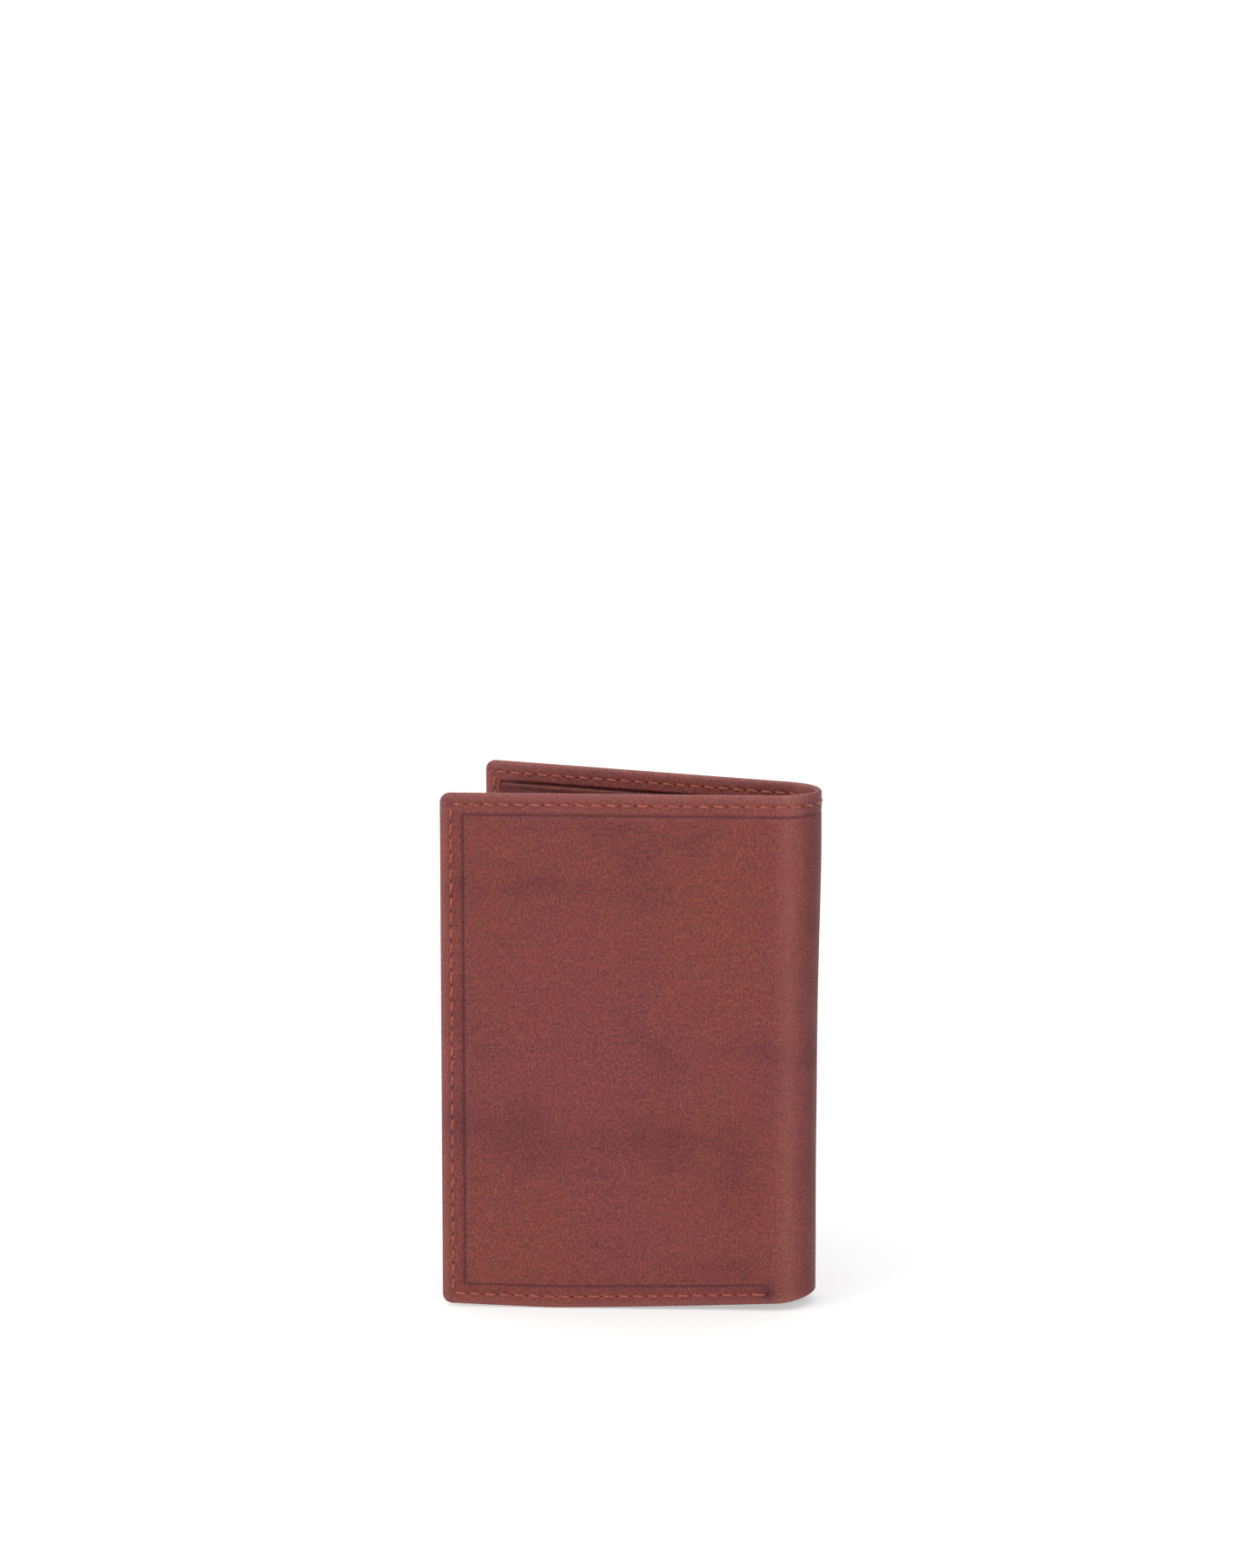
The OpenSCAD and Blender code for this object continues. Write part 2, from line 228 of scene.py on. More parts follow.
# Seams and pressed creases, as distances from the edges
TOP_ROW = HEIGHT - 2.9
SIDE_ROW = PANEL - 2.45
BOTTOM_ROW = 2.9
BOTTOM_ROW_END = 1.9
TOP_CREASE = HEIGHT - 5.55
SIDE_CREASE = PANEL - 5.5
BOTTOM_CREASE = 5.6
PITCH = 3.86
STITCH = 3.15
THREAD_R = 0.33
SINK = 0.13  # how far the thread draws the leather in
CREASE_D = 0.1  # depth of the pressed creases

# Finer seams on the inner pieces
INNER_PITCH = 3.1
INNER_STITCH = 2.4
INNER_THREAD_R = 0.2
LEAF_THREAD_R = 0.19
EDGE_LINE = 1.3  # from a piece's top edge to the line pressed along it

# Inner pieces
LINING_Z = 4.4
LINING_TOP = HEIGHT - 6.5
LINING_L = PANEL - 5.5
WALL_Z = 1.2
WALL_TOP = HEIGHT - 5
WALL_END = PANEL - 6.0  # free end of the back wall
WALL_TAB = PANEL - 2.9  # the back wall's sewn end runs on to here
WALL_TAB_DROP = 8.0  # from the wall's top down to the sewn end
FRONT_WALL_END = PANEL - 2.7
WALL_FLARE = 4.5  # height over which the back wall leaves its sewn lower edge
POCKET_L = PANEL - 3.4
POCKET_Z = 6.0
POCKET_TOP = 119.0
POCKET_STEP = 13.0
POCKET_REACH = 5.9
CARD_POCKETS = 4
LEAF_Z = 5.0
LEAF_H = 119.0
LEAF_L = 86.5
LEAF_CORNER_R = 4.0
LEAF_POCKETS = 3
LEAF_POCKET_DROP = 14.0  # from the leaf's top down to its highest pocket
LEAF_POCKET_T = 0.3
COIN_X = 4.0
COIN_L = PANEL - 8.5
COIN_Z = 8.0
COIN_H = 90.0
ZIP_L = 66.0
ZIP_Z = 84.0
ZIP_SLOT = 8.4

TURN = math.pi - OPENING
HALF_TURN = TURN / 2
NOSE = -FOLD_R * HALF_TURN  # arc length at the middle of the fold
CENTRE_X = (PANEL - FOLD_R) / 2
CENTRE_Y = (FOLD_R * (1 - math.cos(TURN)) + PANEL * math.sin(OPENING)) / 2
FRONT_X = CENTRE_X + FOLD_R * math.sin(TURN)
FRONT_Y = CENTRE_Y - FOLD_R * (1 - math.cos(TURN))


def smooth(t):
    t = min(1.0, max(0.0, t))
    return t * t * (3 - 2 * t)


def bell(distance, width):
    return math.exp(-((distance / width) ** 2))


# ---- From flat leather to the folded wallet: s along it, d into it, z up ----


def nose_growth(z):
    """How far the nose of the fold stands out at each height: waisted low down, flared at the top."""
    return NOSE_FLARE * smooth((z - FLARE_Z) / FLARE_H) - NOSE_WAIST


def edge_lift(s):
    """How far the lower edge is from straight: it bellies down along the panel and rises round the fold."""
    if s > LOWEST_S:
        return CORNER_LIFT * (s - LOWEST_S) / (PANEL - LOWEST_S) - SETTLE
    if s >= 0:
        return FOLD_LIFT * ((LOWEST_S - s) / LOWEST_S) ** 1.3 - SETTLE
    return FOLD_LIFT + NOSE_LIFT * smooth(s / NOSE) - SETTLE


def lifted(s, z):
    return z + edge_lift(s) * max(0.0, 1 - z / LIFT_H) ** 2


def bent(s, d, z):
    """Panel-frame x and y of a point of the leather."""
    if s >= 0:
        return s, d
    turn = -s / FOLD_R
    r = FOLD_R - d + nose_growth(z) * smooth(turn / HALF_TURN)
    return -r * math.sin(turn), FOLD_R - r * math.cos(turn)


def on_back(s, d, z):
    x, y = bent(s, d, z)
    return Vector((CENTRE_X - x, CENTRE_Y - y, lifted(s, z))) * MM


def on_front(s, d, z):
    x, y = bent(s, d, z)
    c, n = math.cos(OPENING), math.sin(OPENING)
    return Vector((FRONT_X - x * c - y * n, FRONT_Y - x * n + y * c, lifted(s, z))) * MM


def flat_back(s, d, z):
    """Like on_back, for the stiffer pieces that stay flat."""
    return Vector((CENTRE_X - s, CENTRE_Y - d, z)) * MM


def flat_front(s, d, z):
    c, n = math.cos(OPENING), math.sin(OPENING)
    return Vector((FRONT_X - s * c - d * n, FRONT_Y - s * n + d * c, z)) * MM


def on_spine(x, y, z):
    c, n = math.cos(OPENING / 2), math.sin(OPENING / 2)
    return Vector((CENTRE_X + x * c - y * n, CENTRE_Y - FOLD_R + x * n + y * c, z)) * MM


def on_leaf(x, y, z):
    turn = math.pi - LEAF_SHARE * OPENING / 2
    c, n = math.cos(turn), math.sin(turn)
    return on_spine(LEAF_AXIS + x * c - y * n, x * n + y * c, z)


def rounded(s, z, end, lo, hi, r):
    """Moves a point of a rectangle so that the two corners at its end are round."""
    p = (s - (end - r)) / r
    for corner, way in ((lo, -1), (hi, 1)):
        q = way * (z - (corner - way * r)) / r
        if p > 0 and q > 0:
            return (end - r + r * p * math.sqrt(1 - q * q / 2),
                    corner - way * r + way * r * q * math.sqrt(1 - p * p / 2))
    return s, z


# ---- Mesh building ----


def lines(lo, hi, step, features=(), edges=()):
    """Grid lines from lo to hi: even ones, and close ones at creases, seams and edges."""
    beside = [0.0, 0.14, 0.28, 0.45, 0.7, 1.1]
    inside = [0.0, 0.05, 0.16, 0.35, 0.62, 1.0]
    clear = 0.4 * step
    least = 0.03
    special = [f + way * n for f in features for n in beside for way in (-1, 1)]
    special += [e + (n if e < (lo + hi) / 2 else -n) for e in edges for n in inside]
    count = max(1, round((hi - lo) / step))
    even = [lo + (hi - lo) * i / count for i in range(count + 1)]
    kept = [v for v in even[1:-1] if all(abs(v - s) > clear for s in special)]
    result = []
    for v in sorted([lo, hi] + kept + [s for s in special if lo < s < hi]):
        if not result or v - result[-1] > least:
            result.append(v)
    return result


def with_fold(grid, step, count):
    """A cover's grid lines, with closer ones round the fold."""
    return sorted(set(grid + [NOSE + step * k for k in range(1, count + 1)]))


class Shape:
    """Points in a flat frame, faces with a material number, and marks that the materials read."""

    def __init__(self):
        self.points, self.faces, self.numbers, self.flat_shaded, self.marks = [], [], [], [], []

    def point(self, s, d, z, mark=(0, 0, 0)):
        self.points.append((s, d, z))
        self.marks.append(mark)
        return len(self.points) - 1

    def face(self, corners, number=0, flat=False):
        self.faces.append(corners)
        self.numbers.append(number)
        self.flat_shaded.append(flat)

    def slab(self, ss, zs, outer, inner, keep=None, mark=None, shift=None, cut=None, number=0):
        """A closed sheet on a grid, between the depths of outer and inner. cut is an end left square."""
        top, low = {}, {}
        for i, s in enumerate(ss):
            for j, z in enumerate(zs):
                m = mark(s, z) if mark else (0, 0, 0)
                a, b = shift(s, z) if shift else (s, z)
                top[i, j] = self.point(a, outer(s, z), b, m)
                low[i, j] = self.point(a, inner(s, z), b, m)
        cells = {
            (i, j)
            for i in range(len(ss) - 1)
            for j in range(len(zs) - 1)
            if not keep or keep((ss[i] + ss[i + 1]) / 2, (zs[j] + zs[j + 1]) / 2)
        }
        for i, j in cells:
            ring = [(i, j), (i + 1, j), (i + 1, j + 1), (i, j + 1)]
            self.face([top[k] for k in ring], number)
            self.face([low[k] for k in reversed(ring)], number)
            beside = [(i, j - 1), (i + 1, j), (i, j + 1), (i - 1, j)]
            for k, other in enumerate(beside):
                if other not in cells:
                    a, b = ring[k], ring[(k + 1) % 4]
                    square = cut is not None and ss[a[0]] == cut and ss[b[0]] == cut
                    self.face([top[b], top[a], low[a], low[b]], number, square)

    def tube(self, rings, sides, number=0):
        """Joins rings of points, each closed by a point at its end."""
        for a, b in zip(rings, rings[1:]):
            for k in range(sides):
                n = (k + 1) % sides
                if len(a) == 1:
                    self.face([a[0], b[n], b[k]], number)
                elif len(b) == 1:
                    self.face([a[k], a[n], b[0]], number)
                else:
                    self.face([a[k], a[n], b[n], b[k]], number)

    def stitch(self, start, end, surface, side, radius, slant):
        """One stitch of two-ply thread that dives into the leather at both ends."""
        ds, dz = end[0] - start[0], end[1] - start[1]
        length = math.hypot(ds, dz)
        across = (-dz / length, ds / length)
        count = 9
        sides = 8
        height = 1.35
        ply_depth = 0.17
        twist = 5.5  # radians in each millimetre
        flatness = 0.85
        rings = []
        for k in range(count):
            t = k / (count - 1)
            rise = math.sin(math.pi * t) ** 0.6
            s = start[0] + ds * t + across[0] * slant * (t - 0.5)
            z = start[1] + dz * t + across[1] * slant * (t - 0.5)
            d = surface(s, z) + side * radius * (height * rise - 1.0)
            if k in (0, count - 1):
                rings.append([self.point(s, d, z)])
                continue
            ring = []
            for m in range(sides):
                angle = 2 * math.pi * m / sides
                ply = 1 + ply_depth * math.cos(2 * angle - twist * length * t)
                r = radius * ply * (0.6 + 0.4 * rise)
                w = r * math.cos(angle)
                v = flatness * r * math.sin(angle)
                ring.append(self.point(s + across[0] * w, d + v, z + across[1] * w))
            rings.append(ring)
        self.tube(rings, sides)

    def hole(self, s, z, surface, side, radius):
        """A needle hole: a low dome just proud of the leather, dark with painted shade in place of the hole's depth.
        """
        d = surface(s, z)
        sides = 8
        proud = 0.05
        rim = 0.02
        deep = 0.2
        around = [2 * math.pi * k / sides for k in range(sides)]
        self.tube([
            [self.point(s, d + side * proud, z)],
            [self.point(s + radius * math.cos(a), d - side * rim, z + radius * math.sin(a)) for a in around],
            [self.point(s, d - side * deep, z)],
        ], sides, 1)

    def seam(self, start, end, surface, side, pitch=PITCH, stitch=STITCH, radius=THREAD_R, slant=0.38):
        """A straight row of stitches, with a needle hole in each gap between two of them."""
        ds, dz = end[0] - start[0], end[1] - start[1]
        length = math.hypot(ds, dz)
        count = max(1, round(length / pitch))
        step = length / count
        for i in range(count):
            jitter = dice.uniform(-0.05, 0.05)
            t0 = ((i + 0.5) * step - stitch / 2 + jitter) / length
            t1 = ((i + 0.5) * step + stitch / 2 + jitter) / length
            self.stitch(
                (start[0] + ds * t0, start[1] + dz * t0), (start[0] + ds * t1, start[1] + dz * t1),
                surface, side, radius * dice.uniform(0.93, 1.07), slant + dice.uniform(-0.08, 0.08),
            )
            if i < count - 1:
                t = (i + 1) * step / length
                self.hole(start[0] + ds * t, start[1] + dz * t, surface, side, radius * 1.25)

    def inner_seam(self, start, end, surface, radius=INNER_THREAD_R):
        self.seam(start, end, surface, 1, INNER_PITCH, INNER_STITCH, radius)

    def build(self, name, place, materials):
        """The finished object, with its flat coordinates kept for the materials."""
        mesh = bpy.data.meshes.new(name)
        mesh.from_pydata([place(*p) for p in self.points], [], self.faces)
        flat = mesh.attributes.new("flat", "FLOAT_VECTOR", "POINT")
        flat.data.foreach_set("vector", [c * MM for p in self.points for c in p])
        marks = mesh.attributes.new("marks", "FLOAT_VECTOR", "POINT")
        marks.data.foreach_set("vector", [float(c) for m in self.marks for c in m])
        for material in materials:
            mesh.materials.append(material)
        for polygon, number, sharp in zip(mesh.polygons, self.numbers, self.flat_shaded):
            polygon.material_index = number
            polygon.use_smooth = not sharp
        work = bmesh.new()
        work.from_mesh(mesh)
        loose = [v for v in work.verts if not v.link_faces]
        bmesh.ops.delete(work, geom=loose, context="VERTS")
        bmesh.ops.recalc_face_normals(work, faces=work.faces)
        work.to_mesh(mesh)
        work.free()
        piece = bpy.data.objects.new(name, mesh)
        bpy.context.scene.collection.objects.link(piece)
        return piece


def stand_for(piece, slot, *nodes):
    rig.slot(piece, slot)
    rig.replaces(piece, *nodes)
    return piece


def fold_with(piece, cover):
    """The piece follows its cover on the flat panel and the spine at the nose, and bends in between."""
    place = on_back if cover == "back_cover" else on_front
    middle = HEIGHT / 2
    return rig.blend(piece, cover, "spine", start=place(0, 0, middle), end=place(NOSE, 0, middle))


# ---- Materials ----


def rgb(r, g, b):
    """A linear colour from an sRGB one in 0 to 255."""
    return tuple(((c / 255 + 0.055) / 1.055) ** 2.4 for c in (r, g, b)) + (1.0,)


class Shader:
    """A material in the making: one Principled shader, and short calls that add nodes in front of it."""

    def __init__(self, name, coordinates="flat", offset=(0, 0, 0)):
        self.material = bpy.data.materials.new(name)
        self.material.use_nodes = True
        self.tree = self.material.node_tree
        self.bsdf = self.tree.nodes["Principled BSDF"]
        if coordinates == "flat":
            source = self.add("ShaderNodeAttribute", attribute_name="flat").outputs["Vector"]
        else:
            source = self.add("ShaderNodeTexCoord").outputs["Object"]
        moved = self.add("ShaderNodeVectorMath", {0: source, 1: offset}, operation="ADD")
        self.coordinates = moved.outputs[0]

    def add(self, kind, inputs=None, **settings):
        node = self.tree.nodes.new(kind)
        for key, value in settings.items():
            setattr(node, key, value)
        for key, value in (inputs or {}).items():
            self.feed(node.inputs[key], value)
        return node

    def feed(self, socket, value):
        if isinstance(value, bpy.types.NodeSocket):
            self.tree.links.new(value, socket)
        else:
            socket.default_value = value

    def stretched(self, amounts):
        node = self.add("ShaderNodeVectorMath", {0: self.coordinates, 1: amounts}, operation="MULTIPLY")
        return node.outputs[0]

    def noise(self, scale, detail=2.0, rough=0.5, stretch=(1, 1, 1), twist=0.0):
        return self.add("ShaderNodeTexNoise", {
            "Vector": self.stretched(stretch), "Scale": scale, "Detail": detail,
            "Roughness": rough, "Distortion": twist,
        }).outputs[0]

    def cells(self, scale, stretch=(1, 1, 1), feature="F1"):
        return self.add(
            "ShaderNodeTexVoronoi", {"Vector": self.stretched(stretch), "Scale": scale}, feature=feature
        ).outputs[0]

    def waves(self, scale, direction, twist=0.0):
        return self.add("ShaderNodeTexWave", {
            "Vector": self.coordinates, "Scale": scale, "Distortion": twist,
        }, bands_direction=direction).outputs[1]

    def spread(self, value, low, high, to_low=0.0, to_high=1.0):
        return self.add("ShaderNodeMapRange", {
            0: value, 1: low, 2: high, 3: to_low, 4: to_high,
        }, interpolation_type="SMOOTHSTEP").outputs[0]

    def maths(self, operation, a, b=0.5):
        return self.add("ShaderNodeMath", {0: a, 1: b}, operation=operation).outputs[0]

    def mix(self, share, a, b, kind="MIX"):
        node = self.add("ShaderNodeMix", data_type="RGBA", blend_type=kind)
        for place, value in ((0, share), (6, a), (7, b)):
            self.feed(node.inputs[place], value)
        return node.outputs[2]

    def marks(self):
        source = self.add("ShaderNodeAttribute", attribute_name="marks").outputs["Vector"]
        return self.add("ShaderNodeSeparateXYZ", {0: source}).outputs

    def bump(self, height, strength, depth, under=None):
        inputs = {"Height": height, "Strength": strength, "Distance": depth}
        if under:
            inputs["Normal"] = under
        return self.add("ShaderNodeBump", inputs).outputs[0]

    def finish(self, **values):
        for key, value in values.items():
            self.feed(self.bsdf.inputs[key.replace("_", " ")], value)
        return self.material


def leather(name, base, dark, rust, offset, gloss=0.22):
    """Waxed pull-up leather: cloudy dye, fine grain and pores, darker creases with painted shade round them, painted
    highlights, and paler worn edges that also carry a painted highlight.
    """
    m = Shader(name, offset=offset)
    clouds = m.noise(24, 2, 0.5, (1, 1, 0.8))
    patches = m.noise(40, 3, 0.55, (0.7, 1, 1))
    mottle = m.noise(420, 4, 0.7)
    fine = m.noise(1450, 3, 0.7, (1.3, 1, 0.85))
    colour = m.mix(m.spread(clouds, 0.36, 0.64), base, rust)
    colour = m.mix(m.spread(patches, 0.46, 0.72, 0, 0.5), colour, dark)
    streaks = m.noise(75, 4, 0.6, (0.3, 1, 1.3))
    colour = m.mix(m.spread(streaks, 0.5, 0.75, 0, 0.3), colour, dark)
    colour = m.mix(m.spread(mottle, 0.3, 0.7, 0, 0.45), colour, dark)
    colour = m.mix(1.0, colour, m.spread(fine, 0.32, 0.68, 0.64, 1.42), "MULTIPLY")
    grain = m.noise(2600, 3, 0.6)
    pores = m.cells(1500)
    colour = m.mix(m.spread(grain, 0.55, 0.75, 0, 0.3), colour, rgb(190, 120, 112))
    colour = m.mix(m.spread(pores, 0.0, 0.16, 0.35, 0), colour, dark)
    # The marks carry pressed creases with painted shade, painted highlights, and worn edges with a painted highlight
    crease_and_shade, rim, edge = m.marks()[:3]
    # Painted highlight beside the creases, on the bend near the fold and below the top seam
    colour = m.mix(m.maths("MULTIPLY", rim, 0.08), colour, rgb(200, 128, 118))
    # Paler worn edges, which also carry a painted highlight where they roll over
    wear_and_highlight = m.maths("MULTIPLY", edge, m.spread(mottle, 0.2, 0.8, 0.12, 0.38))
    colour = m.mix(wear_and_highlight, colour, rgb(184, 134, 128))
    # Darker pressed creases and the tack smudge, with painted shade round the creases and on the nose
    colour = m.mix(m.maths("MULTIPLY", crease_and_shade, 0.85), colour, rgb(46, 16, 26))
    wrinkles = m.cells(760, (1.5, 1, 0.8), "DISTANCE_TO_EDGE")
    normal = m.bump(m.spread(wrinkles, 0.0, 0.16), 0.3, 0.00014)
    normal = m.bump(fine, 0.4, 0.0002, normal)
    normal = m.bump(grain, 0.3, 0.00014, normal)
    normal = m.bump(m.spread(pores, 0.0, 0.2), 0.25, 0.0001, normal)
    rough = m.spread(patches, 0.3, 0.7, 0.5, 0.62)
    return m.finish(
        Base_Color=colour, Roughness=rough, Normal=normal, Specular_IOR_Level=gloss,
        Sheen_Weight=0.04, Sheen_Roughness=0.5, Sheen_Tint=rgb(220, 150, 140),
    )


def thread_material():
    """Waxed two-ply polyester: terracotta, with the twist showing as fine slanting lines."""
    m = Shader("thread_wax", offset=(0.01, 0.02, 0.03))
    fibres = m.noise(2400, 3, 0.6, (1, 1, 1))
    wear = m.noise(220, 2)
    colour = m.mix(m.spread(fibres, 0.3, 0.7), rgb(116, 46, 33), rgb(168, 80, 58))
    colour = m.mix(m.spread(wear, 0.45, 0.75, 0, 0.4), colour, rgb(116, 45, 34))
    return m.finish(
        Base_Color=colour, Roughness=0.55, Normal=m.bump(fibres, 0.5, 0.0001),
        Specular_IOR_Level=0.3, Sheen_Weight=0.2,
    )


def hole_shade_material():
    # Painted shade of a needle hole: near black, with a little variation
    m = Shader("needle_hole")
    shade = m.noise(1800, 2)
    colour = m.mix(shade, rgb(30, 11, 11), rgb(62, 24, 22))
    return m.finish(Base_Color=colour, Roughness=0.8, Specular_IOR_Level=0.1)


def cloth(name, dark, light, threads=400.0, coordinates="flat"):
    """Plain-woven textile: warp and weft threads cross, with slubs and faded patches."""
    m = Shader(name, coordinates, offset=(0.003, 0.001, 0.002))
    warp = m.waves(threads, "X", 0.4)
    weft = m.waves(threads, "Z", 0.4)
    weave = m.maths("MULTIPLY", warp, weft)
    slubs = m.noise(240, 3, 0.6, (1, 1, 0.15))
    colour = m.mix(m.spread(weave, 0.1, 0.8), dark, light)
    colour = m.mix(m.spread(slubs, 0.5, 0.75, 0, 0.35), colour, dark)
    normal = m.bump(weave, 0.5, 0.0001, m.bump(slubs, 0.2, 0.0001))
    return m.finish(
        Base_Color=colour, Roughness=0.85, Normal=normal, Specular_IOR_Level=0.2, Sheen_Weight=0.3,
    )


def brass(name):
    """Antique brass: polished where it is handled, dull and brown elsewhere, with fine scratches."""
    m = Shader(name, "object")
    age = m.noise(170, 3, 0.55)
    scratches = m.noise(900, 3, 0.6, (0.12, 1, 1), 0.5)
    colour = m.mix(m.spread(age, 0.42, 0.68), rgb(186, 150, 96), rgb(134, 101, 63))
    rough = m.spread(age, 0.35, 0.7, 0.24, 0.5)
    return m.finish(
        Base_Color=colour, Metallic=1.0, Roughness=rough, Normal=m.bump(scratches, 0.12, 0.00005),
    )


def clear_film():
    """Thin clear plastic: it mirrors a little of the room, more so at a slant, and is lightly scuffed."""
    m = Shader("clear_film", "object")
    scuffs = m.noise(140, 4, 0.7, (0.3, 1, 1), 0.8)
    slant = m.add("ShaderNodeLayerWeight", {"Blend": 0.5}).outputs["Facing"]
    mirror = m.maths("MULTIPLY", m.maths("POWER", slant, 5.0), 0.9)
    haze = m.spread(scuffs, 0.45, 0.8, 0.03, 0.06)
    return m.finish(
        Base_Color=m.mix(scuffs, rgb(225, 228, 228), rgb(246, 247, 247)), Metallic=1.0,
        Roughness=m.spread(scuffs, 0.4, 0.7, 0.1, 0.26), Normal=m.bump(scuffs, 0.08, 0.0001),
        Alpha=m.maths("ADD", mirror, haze),
    )


def make_materials():
    base, dark, rust = rgb(112, 50, 49), rgb(78, 34, 38), rgb(115, 52, 44)
    inner = rgb(88, 34, 30), rgb(60, 22, 21), rgb(94, 37, 28)
    return {
        "front": leather("cover_leather_front", base, dark, rust, (0.013, 0.0, 0.021)),
        "back": leather("cover_leather_back", base, dark, rust, (0.31, 0.0, 0.17)),
        "inner": leather("inner_leather", *inner, (0.57, 0.0, 0.41)),
        "thread": thread_material(),
        "hole": hole_shade_material(),
        "lining": cloth("lining_cloth", rgb(38, 20, 18), rgb(84, 48, 42)),
        "tape": cloth("zip_tape_cloth", rgb(34, 18, 17), rgb(72, 40, 36), 672.0, "object"),
        "brass": brass("antique_brass"),
        "film": clear_film(),
    }


# ---- Covers ----

HEM_D = {"front_cover": 1.6, "back_cover": 1.95}  # thickness where the edge is turned over
HEM_STEP = 0.4  # width of the step where the turned leather begins
ROLL = 0.8  # how far in from the edge the leather begins to curve over
LIP = 0.1  # half the flat left at the very edge
HEM_CLEAR = 0.1  # between the hem and the wall sewn to it


def crease_marks(s, z):
    """How strong the pressed crease is at a point, the rim beside it, which the colour lights with a painted
    highlight, and the soft painted shade round it.
    """
    top, side, bottom = z - TOP_CREASE, s - SIDE_CREASE, z - BOTTOM_CREASE
    in_top = smooth((SIDE_CREASE + 0.6 - s) / 0.6)
    in_side = smooth((z - BOTTOM_CREASE + 0.6) / 0.6) * smooth((TOP_CREASE + 0.6 - z) / 0.6)
    in_bottom = in_top * smooth(s - 0.8)
    line = max(in_top * bell(top, 0.38), in_side * bell(side, 0.4), in_bottom * bell(bottom, 0.32))
    rim = max(
        in_top * bell(top + 0.7, 0.35), in_side * bell(side + 0.75, 0.35),
        in_bottom * bell(bottom - 0.6, 0.3),
    )
    soft = max(
        0.4 * in_top * bell(top, 0.9), 0.7 * in_side * bell(side, 1.1), 0.5 * in_bottom * bell(bottom, 0.9)
    )
    return line, rim, soft


def seam_sink(s, z):
    """The thread draws the leather in along each seam."""
    width = 0.42
    rows = bell(z - TOP_ROW, width) * smooth((SIDE_ROW + 0.5 - s) / 0.5)
    rows += bell(s - SIDE_ROW, width) * smooth(z - BOTTOM_ROW + 0.5) * smooth(TOP_ROW + 0.5 - z)
    rows += bell(z - BOTTOM_ROW, width) * smooth(s - BOTTOM_ROW_END + 0.5) * smooth(SIDE_ROW + 0.5 - s)
    return SINK * min(1.0, rows)


def edge_roll(s, z):
    """0 on the flat, 1 at the very edge, along the curve of a folded edge."""
    e = min(COVER_END - s, z, HEIGHT - z) / ROLL
    return 1 - math.sqrt(max(0.0, 1 - (1 - min(1.0, e)) ** 2))


def swell(s, z):
    """Slow hills of worn leather, nearly nothing at the edges."""
    height = 0.07
    fade = 12.0
    wave = math.sin(s / 11 + 1.3) * math.sin(z / 17 + 0.4) + 0.6 * math.sin(s / 6.3 + z / 9.1)
    return height * wave * smooth((TOP_CREASE - z) / fade) * smooth((z - BOTTOM_CREASE) / fade)


